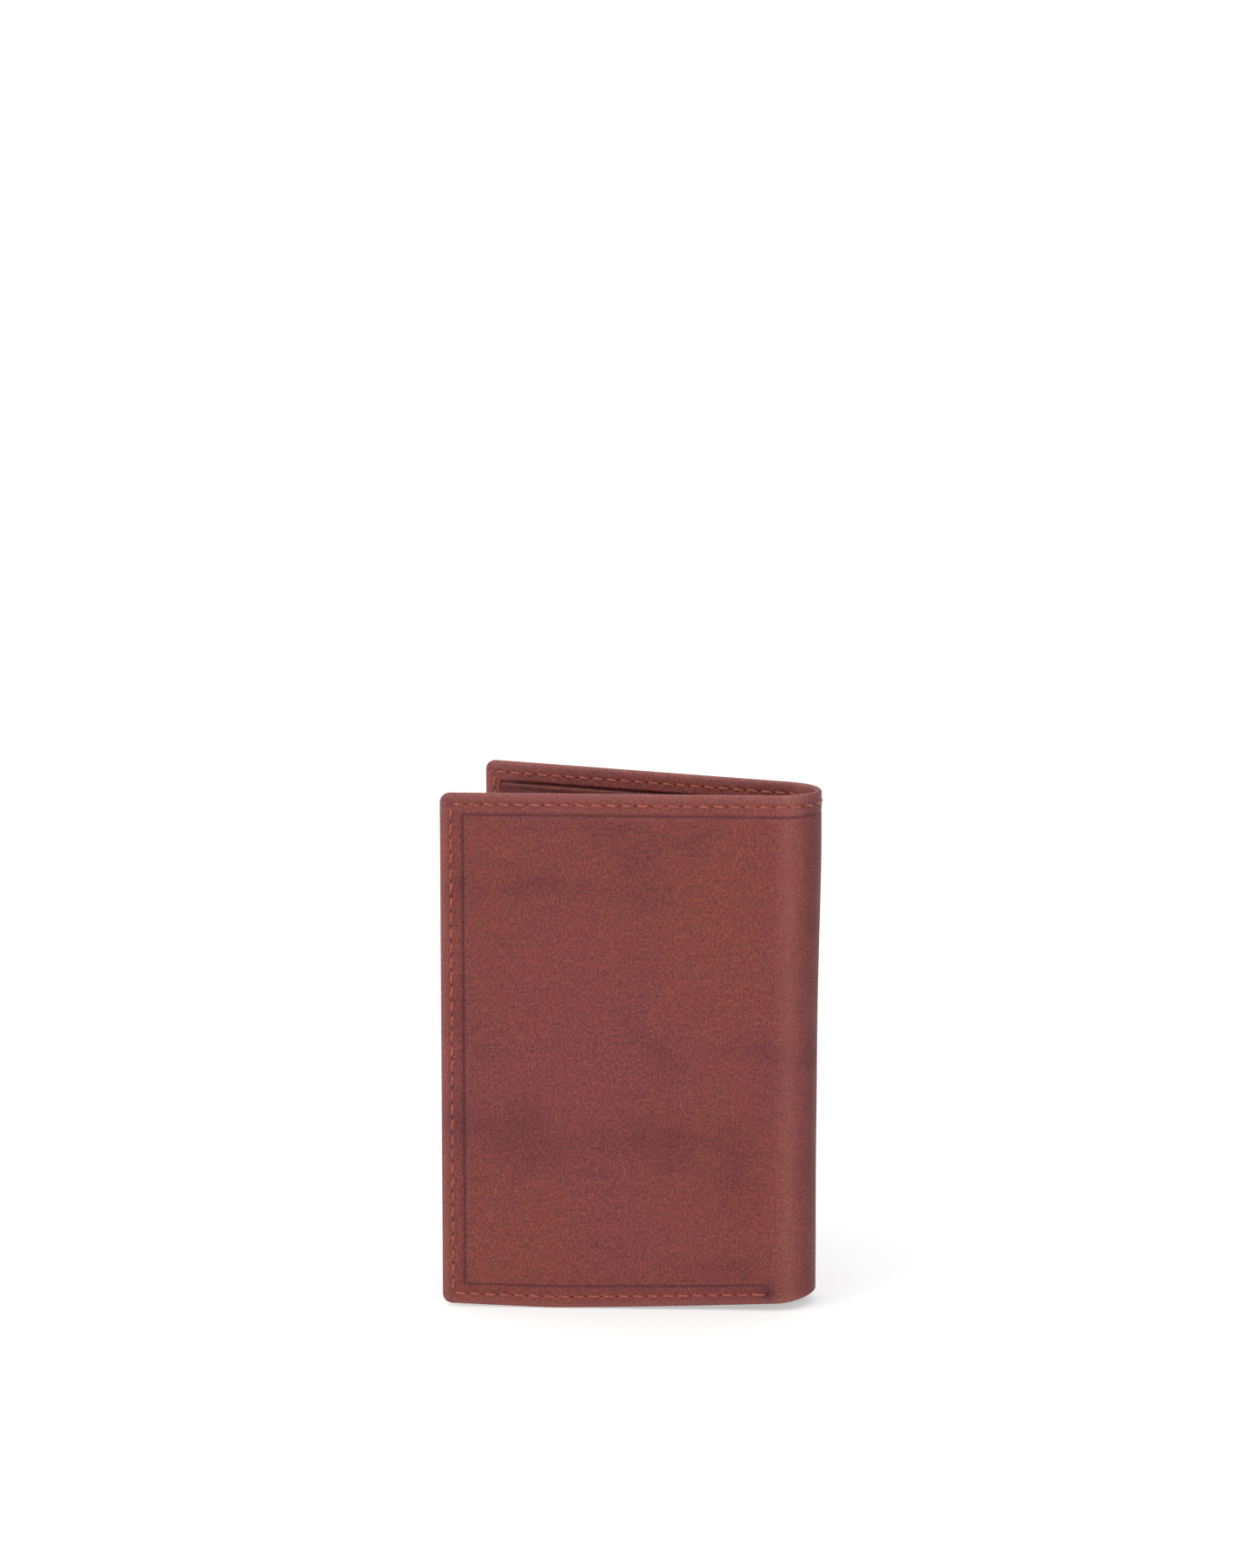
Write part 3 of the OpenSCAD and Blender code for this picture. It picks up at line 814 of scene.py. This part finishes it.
def cover_shell(cover):
    """A leather cover with turned and stitched hems, and its half of the fold."""
    hem = HEM_D[cover]
    middle = hem / 2

    def outer(s, z):
        line, rim, _ = crease_marks(s, z)
        d = edge_roll(s, z) * (middle - LIP)
        return d + seam_sink(s, z) + CREASE_D * (line - 0.1 * rim) + swell(s, z)

    def inner(s, z):
        strip = max(
            smooth((z - TOP_CREASE - 0.2) / HEM_STEP), smooth((s - PANEL + 4.4) / HEM_STEP),
            smooth((LINING_Z - 0.3 - z) / HEM_STEP),
        )
        mitre = bell((COVER_END - s) - (HEIGHT - z), 0.3) * smooth((s - PANEL + 6) / 2)
        full = COVER_T + (hem - COVER_T) * strip - 0.2 * strip * mitre
        return full - edge_roll(s, z) * (full - middle - LIP) - 0.6 * seam_sink(s, z) * strip

    def mark(s, z):
        """Darker: pressed lines, the smudge at the back tack, and painted shade round the creases and on the nose.
        Lighter: painted highlights beside the creases, on the bend near the fold and below the top seam. Worn edges,
        which also carry a painted highlight.
        """
        line, rim, soft = crease_marks(s, z)
        # Painted shade on the far side of the fold's nose
        shade = 0.28 * smooth((-s - 7.5) / 5)
        # Pressed lines, with painted shade round them
        pressed_and_shade = 0.62 * line + 0.2 * soft
        # Painted highlight: a sheen band on the bend near the fold, and a lighter band below the top seam
        painted_highlight = 1.4 * bell(s + 4.2, 3.2) + 0.5 * bell(z - TOP_ROW + 1.35, 0.8)
        edge = min(COVER_END - s, z + 0.3, HEIGHT - z)
        tack = 0.8 * bell(math.hypot(s - BOTTOM_ROW_END + 0.7, (z - BOTTOM_ROW - 0.5) / 1.4), 1.5)
        # Worn edges, which also carry a painted highlight where they roll over
        wear_and_highlight = max(edge_roll(s, z), 0.45 * bell(edge - 0.5, 1.5))
        return max(pressed_and_shade, shade, tack), 0.4 * rim + painted_highlight, wear_and_highlight

    ss = lines(NOSE, COVER_END, 2.2, [SIDE_CREASE, SIDE_ROW, PANEL - 4.2], [COVER_END, NOSE])
    ss = with_fold(ss, 0.7, 24)
    zs = lines(0, HEIGHT, 2.2, [BOTTOM_ROW, BOTTOM_CREASE, TOP_ROW, TOP_CREASE], [0, HEIGHT])
    shape = Shape()
    shape.slab(ss, zs, outer, inner, mark=mark, cut=NOSE,
               shift=lambda s, z: rounded(s, z, COVER_END, 0, HEIGHT, CORNER_R))
    side = cover.split("_")[0]
    place = on_back if side == "back" else on_front
    piece = shape.build(f"{cover}_shell", place, [paint[side]])
    stand_for(piece, "cover_leather", f"{cover}_leather", "spine_leather")
    fold_with(piece, cover)

    sewing = Shape()
    rows = [
        ((NOSE, TOP_ROW), (SIDE_ROW, TOP_ROW)),
        ((SIDE_ROW, BOTTOM_ROW + 0.6), (SIDE_ROW, TOP_ROW - 0.6)),
        ((BOTTOM_ROW_END, BOTTOM_ROW), (SIDE_ROW, BOTTOM_ROW)),
    ]
    for start, end in rows:
        sewing.seam(start, end, outer, -1)
        sewing.seam(start, end, inner, 1)
    back_tack = (BOTTOM_ROW_END - 0.4, BOTTOM_ROW + 0.15), (BOTTOM_ROW_END + 3.2, BOTTOM_ROW - 0.1)
    sewing.stitch(*back_tack, lambda s, z: outer(s, z) - 0.25, -1, THREAD_R, 0.2)
    sewing.hole(BOTTOM_ROW_END - 0.7, BOTTOM_ROW + 0.1, outer, -1, 0.4)
    stitches = sewing.build(f"{cover}_stitches", place, [paint["thread"], paint["hole"]])
    edge = "back_edge_thread" if side == "back" else "front_edge_thread"
    stand_for(stitches, "thread", edge, "spine_thread")
    fold_with(stitches, cover)


def lining(cover):
    """The textile lining inside a cover and its half of the fold."""
    side = cover.split("_")[0]
    place = on_back if side == "back" else on_front
    ss = with_fold(lines(NOSE, LINING_L, 2.5), 0.9, 17)
    zs = lines(LINING_Z, LINING_TOP, 3.0)
    shape = Shape()
    shape.slab(ss, zs, lambda s, z: COVER_T + 2 * PLAY, lambda s, z: COVER_T + LINING_T, cut=NOSE)
    piece = shape.build(f"{side}_lining_cloth", place, [paint["lining"]])
    stand_for(piece, "lining", f"{side}_lining", "spine_lining")
    fold_with(piece, cover)
    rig.sheet(piece, flat=((LINING_L - NOSE) * MM, (LINING_TOP - LINING_Z) * MM), held="stretched",
             rests_on=[f"{cover}_shell"])


def skin_edges(lo_s, hi_s, lo_z, hi_z, t):
    """Rounding for a thin leather skin: how far each face draws in near its edges."""

    def roll(s, z):
        e = min(s - lo_s, hi_s - s, z - lo_z, hi_z - z) / t
        return 0.42 * t * (1 - math.sqrt(max(0.0, 1 - (1 - min(1.0, max(0.0, e))) ** 2)))

    return roll


def edge_line(z_line, depth=0.09, width=0.22):
    """A creasing-iron line pressed along an edge."""
    return lambda s, z: depth * bell(z - z_line, width)


def wall(cover):
    """The leather wall of a banknote pocket. The back one stands off its cover above its sewn lower edge."""
    side = cover.split("_")[0]
    place = on_back if side == "back" else on_front
    standing = side == "back"

    def depth(s, z):
        if not standing:
            return FRONT_WALL_D
        rise = smooth((s + 6) / 10)
        sewn = FRONT_WALL_D + (HEM_D[cover] + HEM_CLEAR - FRONT_WALL_D) * rise
        low = 1 - smooth((z - WALL_Z) / WALL_FLARE)
        past = smooth((s - WALL_END + 0.4) / 2.6)
        return sewn + (BACK_WALL_D - sewn) * rise * (1 - max(past, low))

    last = WALL_TAB if standing else FRONT_WALL_END
    roll = skin_edges(NOSE - 5, last, WALL_Z, WALL_TOP, WALL_T)
    line_z = WALL_TOP - EDGE_LINE
    line = edge_line(line_z)
    ss = with_fold(lines(NOSE, last, 2.5, [WALL_END] if standing else [], [last]), 0.8, 19)
    zs = lines(WALL_Z, WALL_TOP, 3.0, [line_z], [WALL_TOP, WALL_Z])
    if standing:
        zs = sorted(set(zs + [WALL_Z + WALL_FLARE * (k + 0.5) / 9 for k in range(2, 10)]))
    shape = Shape()
    shape.slab(
        ss, zs, lambda s, z: depth(s, z) + roll(s, z),
        lambda s, z: depth(s, z) + WALL_T - roll(s, z) - line(s, z),
        keep=(lambda s, z: s < WALL_END or z < WALL_TOP - WALL_TAB_DROP) if standing else None,
        # Pressed line along the top; worn edges, which also carry a painted highlight
        mark=lambda s, z: (0.7 * bell(z - line_z, 0.25), 0, min(0.3, roll(s, z) / 0.2)),
        cut=NOSE,
    )
    piece = shape.build(f"{side}_wall_skin", place, [paint["inner"]])
    stand_for(piece, "inner_leather", f"{side}_inner_wall", "spine_inner_wall")
    fold_with(piece, cover)


def flat_skin(name, place, body, box, outer_d, t, nodes, material="inner", slot="inner_leather", corner=0.0,
              keep=None, features=(), inner_side=True):
    """A thin flat piece with rounded edges, and a pressed line along the top of its inner or outer side."""
    lo_s, hi_s, lo_z, hi_z = box
    roll = skin_edges(lo_s, hi_s, lo_z, hi_z, t)
    line_z = hi_z - EDGE_LINE
    line = edge_line(line_z, min(0.09, t / 5))

    def relief(s, z):
        return line(s, z) + abs(0.05 * t * math.sin(s / 7.3 + hi_z) * math.sin(z / 9.7))

    shape = Shape()
    shape.slab(
        lines(lo_s, hi_s, 3.0, features, [lo_s, hi_s]), lines(lo_z, hi_z, 3.0, [line_z], [lo_z, hi_z]),
        lambda s, z: outer_d + roll(s, z) + (0 if inner_side else relief(s, z)),
        lambda s, z: outer_d + t - roll(s, z) - (relief(s, z) if inner_side else 0),
        keep=keep,
        # Pressed line along the top; worn edges, which also carry a painted highlight
        mark=lambda s, z: (0.7 * bell(z - line_z, 0.25), 0, min(1.0, roll(s, z) / (0.4 * t))),
        shift=(lambda s, z: rounded(s, z, hi_s, lo_z, hi_z, corner)) if corner else None,
    )
    piece = shape.build(name, place, [paint[material]])
    stand_for(piece, slot, *nodes)
    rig.ride(piece, body)
    return piece


def pocket_top(i):
    return POCKET_TOP - (i - 1) * POCKET_STEP


def back_pockets():
    """Card pockets that overlap like steps, sewn down together at the free end."""
    first = BACK_WALL_D + WALL_T
    for i in range(1, CARD_POCKETS + 1):
        flat_skin(
            f"back_card_pocket_{i}_skin", flat_back, "back_cover",
            (-POCKET_REACH, POCKET_L, POCKET_Z, pocket_top(i)), first + (i - 1) * POCKET_T + PLAY,
            POCKET_T - 2 * PLAY, [f"back_card_pocket_{i}"],
        )
    row = POCKET_L - 1.8
    sewing = Shape()
    for i in range(1, CARD_POCKETS + 1):
        low = pocket_top(i + 1) + 0.6 if i < CARD_POCKETS else POCKET_Z + 1
        face = first + i * POCKET_T - 3 * PLAY
        sewing.inner_seam((row, low), (row, pocket_top(i) - 0.4), lambda s, z, d=face: d)
    piece = sewing.build("back_pocket_stitches", flat_back, [paint["thread"], paint["hole"]])
    stand_for(piece, "thread", "back_pocket_thread")
    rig.ride(piece, "back_cover")


def box_sides(lo_s, hi_s, lo_z, hi_z):
    """The four sides of a rectangle, each from one corner to the next."""
    corners = [(lo_s, lo_z), (hi_s, lo_z), (hi_s, hi_z), (lo_s, hi_z)]
    return list(zip(corners, corners[1:] + corners[:1]))


# ---- Leaf ----


def leaf():
    """The leaf between the covers: its window faces the front cover and its card pockets the back one."""
    core = 0.2  # half its thickness
    pane = 0.2
    frame_t = 0.6
    inset = 8.0
    gap = 0.6
    start = 2.6
    margin = 1.0
    row = inset - 1.8
    top = LEAF_Z + LEAF_H
    flat_skin("leaf_core_skin", on_leaf, "leaf", (gap, LEAF_L, LEAF_Z, top), -core, 2 * core, ["leaf_core"],
              corner=LEAF_CORNER_R)
    lo, hi = start + inset, LEAF_L - inset
    flat_skin(
        "leaf_frame_skin", on_leaf, "leaf", (start, LEAF_L, LEAF_Z, top), core + pane + PLAY,
        frame_t - 2 * PLAY, ["leaf_window_frame"], material="front", slot="cover_leather",
        corner=LEAF_CORNER_R,
        keep=lambda s, z: not (lo < s < hi and LEAF_Z + inset < z < top - inset),
        features=[lo, hi],
    )
    for i in range(1, LEAF_POCKETS + 1):
        flat_skin(
            f"leaf_card_pocket_{i}_skin", on_leaf, "leaf",
            (start, LEAF_L - margin, LEAF_Z + margin, top - LEAF_POCKET_DROP - (i - 1) * POCKET_STEP),
            PLAY - core - LEAF_POCKET_T * i, LEAF_POCKET_T - 2 * PLAY, [f"leaf_card_pocket_{i}"],
            inner_side=False,
        )
    sewing = Shape()
    face = core + pane + frame_t - 3 * PLAY
    for a, b in box_sides(start + row, LEAF_L - row, LEAF_Z + row, top - row):
        sewing.inner_seam(a, b, lambda s, z: face, LEAF_THREAD_R)
    piece = sewing.build("leaf_stitches", on_leaf, [paint["thread"], paint["hole"]])
    stand_for(piece, "thread", "leaf_thread")
    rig.ride(piece, "leaf")
    tape = LEAF_AXIS + 0.35, FOLD_R - FRONT_WALL_D - WALL_T - 0.75, LEAF_Z + margin, top - margin
    flat_skin("leaf_tape_skin", on_spine, "spine", tape, -core, 2 * core, ["leaf_hinge_tape"])


# ---- Coin pocket ----


def ring_points(x0, x1, z0, z1, r, count=8):
    """Points round a rectangle with rounded corners, with the way outwards at each."""
    corners = [(x1 - r, z1 - r, 0), (x0 + r, z1 - r, 90), (x0 + r, z0 + r, 180), (x1 - r, z0 + r, 270)]
    result = []
    for x, z, first in corners:
        for k in range(count + 1):
            a = math.radians(first + 90 * k / count)
            result.append((x + r * math.cos(a), z + r * math.sin(a), math.cos(a), math.sin(a)))
    return result


def gusset():
    """The bellows between the coin pocket's back and face: one pleat that folds inwards all round."""
    shape = Shape()
    t = 0.35
    inset_least = 0.05
    pleat = 0.85
    corner_r = 2.0
    steps = 8
    low, high = COIN_BACK_D + COIN_BACK_T, COIN_FACE_D
    around = ring_points(COIN_X, COIN_X + COIN_L, COIN_Z, COIN_Z + COIN_H, corner_r)
    loops = []
    for thick in (0.0, t):
        for k in range(steps + 1) if thick == 0.0 else range(steps, -1, -1):
            f = k / steps
            inset = inset_least + thick + pleat * math.sin(math.pi * f) ** 1.5
            d = low + (high - low) * f
            loops.append([shape.point(x - nx * inset, d, z - nz * inset) for x, z, nx, nz in around])
    n = len(around)
    for a, b in zip(loops, loops[1:] + loops[:1]):
        for k in range(n):
            m = (k + 1) % n
            shape.face([a[k], a[m], b[m], b[k]])
    piece = shape.build("coin_gusset_skin", flat_front, [paint["inner"]])
    stand_for(piece, "inner_leather", "coin_pocket_gusset")
    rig.ride(piece, "front_cover")


def coin_pocket():
    """A flat zipped pocket for coins on the inside of the front cover."""
    end, top = COIN_X + COIN_L, COIN_Z + COIN_H
    flat_skin("front_card_pocket_skin", flat_front, "front_cover", (1, POCKET_L, POCKET_Z, POCKET_TOP - 6),
              FRONT_WALL_D + WALL_T + PLAY, POCKET_T - 2 * PLAY, ["front_card_pocket"])
    flat_skin("coin_back_cloth", flat_front, "front_cover", (COIN_X, end, COIN_Z, top), COIN_BACK_D + PLAY,
              COIN_BACK_T - 2 * PLAY, ["coin_pocket_back"], material="lining", slot="lining")
    gusset()
    edge_row = 1.6
    slot_row = 1.8
    slope = 12.0
    dome_h = 0.06
    x0 = COIN_X + (COIN_L - ZIP_L) / 2
    z0, z1 = ZIP_Z - ZIP_SLOT / 2, ZIP_Z + ZIP_SLOT / 2
    roll = skin_edges(COIN_X, end, COIN_Z, top, COIN_FACE_T)

    def slot_roll(s, z):
        """Turned edges round the zip's slot, which the colour also darkens with painted shade."""
        outside = max(x0 - s, s - x0 - ZIP_L, z0 - z, z - z1, 0.0)
        return 0.2 * (1 - smooth(outside / 0.6))

    def face_top(s, z):
        dome = smooth((s - COIN_X) / slope) * smooth((end - s) / slope)
        dome *= smooth((z - COIN_Z) / slope) * smooth((top - z) / slope)
        return COIN_FACE_D + COIN_FACE_T - roll(s, z) - slot_roll(s, z) - dome_h + dome_h * dome

    shape = Shape()
    shape.slab(
        lines(COIN_X, end, 2.5, [x0, x0 + ZIP_L], [COIN_X, end]),
        lines(COIN_Z, top, 2.5, [z0, z1], [COIN_Z, top]),
        lambda s, z: COIN_FACE_D + PLAY + roll(s, z), face_top,
        keep=lambda s, z: not (x0 < s < x0 + ZIP_L and z0 < z < z1),
        # Painted shade on the turned edges round the zip's slot; worn edges, which also carry a painted highlight
        mark=lambda s, z: (slot_roll(s, z), 0, min(1.0, roll(s, z) / 0.25)),
    )
    piece = shape.build("coin_face_skin", flat_front, [paint["back"]])
    stand_for(piece, "cover_leather", "coin_pocket_face")
    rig.ride(piece, "front_cover")
    sewing = Shape()
    sides = box_sides(COIN_X + edge_row, end - edge_row, COIN_Z + edge_row, top - edge_row)
    sides += box_sides(x0 - slot_row, x0 + ZIP_L + slot_row, z0 - slot_row, z1 + slot_row)
    for a, b in sides:
        sewing.inner_seam(a, b, face_top)
    stitches = sewing.build("coin_stitches", flat_front, [paint["thread"], paint["hole"]])
    stand_for(stitches, "thread", "coin_pocket_thread")
    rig.ride(stitches, "front_cover")


# ---- CAD nodes that keep their shape ----


def finish_node(name, material, bevel=0.0):
    """Gives a CAD node its material, and softens its edges as casting or cutting does."""
    sharp = math.radians(40)
    node = frame["nodes"][name]
    node.data.materials.clear()
    node.data.materials.append(material)
    for polygon in node.data.polygons:
        polygon.material_index = 0
    if bevel:
        modifier = node.modifiers.new("soft_edges", "BEVEL")
        modifier.width = bevel * MM
        modifier.segments = 3
        modifier.limit_method = "ANGLE"
        modifier.angle_limit = sharp


def dress_nodes():
    for name in ("zip_teeth_upper", "zip_teeth_lower", "zip_end_stops"):
        finish_node(name, paint["brass"], 0.12)
    finish_node("zip_slider_body", paint["brass"], 0.3)
    finish_node("zip_pull", paint["brass"], 0.22)
    for name in ("zip_tape_upper", "zip_tape_lower"):
        finish_node(name, paint["tape"], 0.05)
    finish_node("leaf_window_pane", paint["film"], 0.04)


# ---- Setting ----


def floor():
    """A plain white table top."""
    bpy.ops.mesh.primitive_plane_add(size=24)
    ground = bpy.context.object
    ground.name = "table_top"
    ground.location.z = -(SETTLE + TABLE_GAP) * MM
    m = Shader("table_paint", "object")
    tone = m.noise(3, 2)
    ground.data.materials.append(m.finish(
        Base_Color=m.mix(tone, (0.5, 0.5, 0.5, 1), (0.52, 0.52, 0.52, 1)), Roughness=0.9,
        Specular_IOR_Level=0.1, Emission_Color=(1, 1, 1, 1), Emission_Strength=0.42,
    ))
    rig.stage(ground)


def softbox(name, azimuth, elevation, distance, size, power, aim=0.06):
    """An area light on a bearing round the wallet, facing it."""
    a, e = math.radians(azimuth), math.radians(elevation)
    back = Vector((math.sin(a) * math.cos(e), -math.cos(a) * math.cos(e), math.sin(e)))
    light = bpy.data.lights.new(name, "AREA")
    light.shape = "RECTANGLE"
    light.size, light.size_y = size
    light.energy = power
    lamp = bpy.data.objects.new(name, light)
    lamp.location = back * distance + Vector((0, 0, aim))
    lamp.rotation_euler = (-back).to_track_quat("-Z", "Y").to_euler()
    bpy.context.scene.collection.objects.link(lamp)


def studio():
    """A white room that is brightest up on the left and in front, with two softboxes."""
    brightest = (-0.62, -0.45, 0.64)
    far_side, near_side = 0.2, 1.74
    world = bpy.data.worlds.new("studio")
    world.use_nodes = True
    tree = world.node_tree
    tree.nodes["Background"].inputs["Color"].default_value = (1, 1, 1, 1)
    direction = tree.nodes.new("ShaderNodeTexCoord")
    side = tree.nodes.new("ShaderNodeVectorMath")
    side.operation = "DOT_PRODUCT"
    side.inputs[1].default_value = brightest
    level = tree.nodes.new("ShaderNodeMapRange")
    for socket, value in zip(list(level.inputs)[1:5], (-1.0, 1.0, far_side, near_side)):
        socket.default_value = value
    tree.links.new(direction.outputs["Generated"], side.inputs[0])
    tree.links.new(side.outputs["Value"], level.inputs[0])
    tree.links.new(level.outputs[0], tree.nodes["Background"].inputs["Strength"])
    bpy.context.scene.world = world
    bpy.context.scene.view_settings.view_transform = "Standard"
    softbox("key", -32, 38, 0.9, (0.5, 0.7), 2.2)
    softbox("fill", 48, 22, 1.1, (0.35, 0.9), 1.2)


def camera():
    """The camera looks a little down on the front cover, from the side of the fold."""
    data = bpy.data.cameras.new("camera")
    data.sensor_width = 36
    data.lens = 126.75
    eye = bpy.data.objects.new("camera", data)
    eye.location = (0.526156, -1.268461, 0.38959)
    eye.rotation_euler = (math.radians(90 - 10.529), 0, math.radians(22.466))
    bpy.context.scene.collection.objects.link(eye)
    bpy.context.scene.camera = eye


dice = random.Random(7)
paint = make_materials()
for cover_name in ("front_cover", "back_cover"):
    cover_shell(cover_name)
    lining(cover_name)
    wall(cover_name)
back_pockets()
leaf()
coin_pocket()
dress_nodes()
floor()
studio()
camera()

with open("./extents.json", "w") as out:
    json.dump({"cad": CAD_BOX, "visual": [list(corner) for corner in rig.bounds()]}, out)
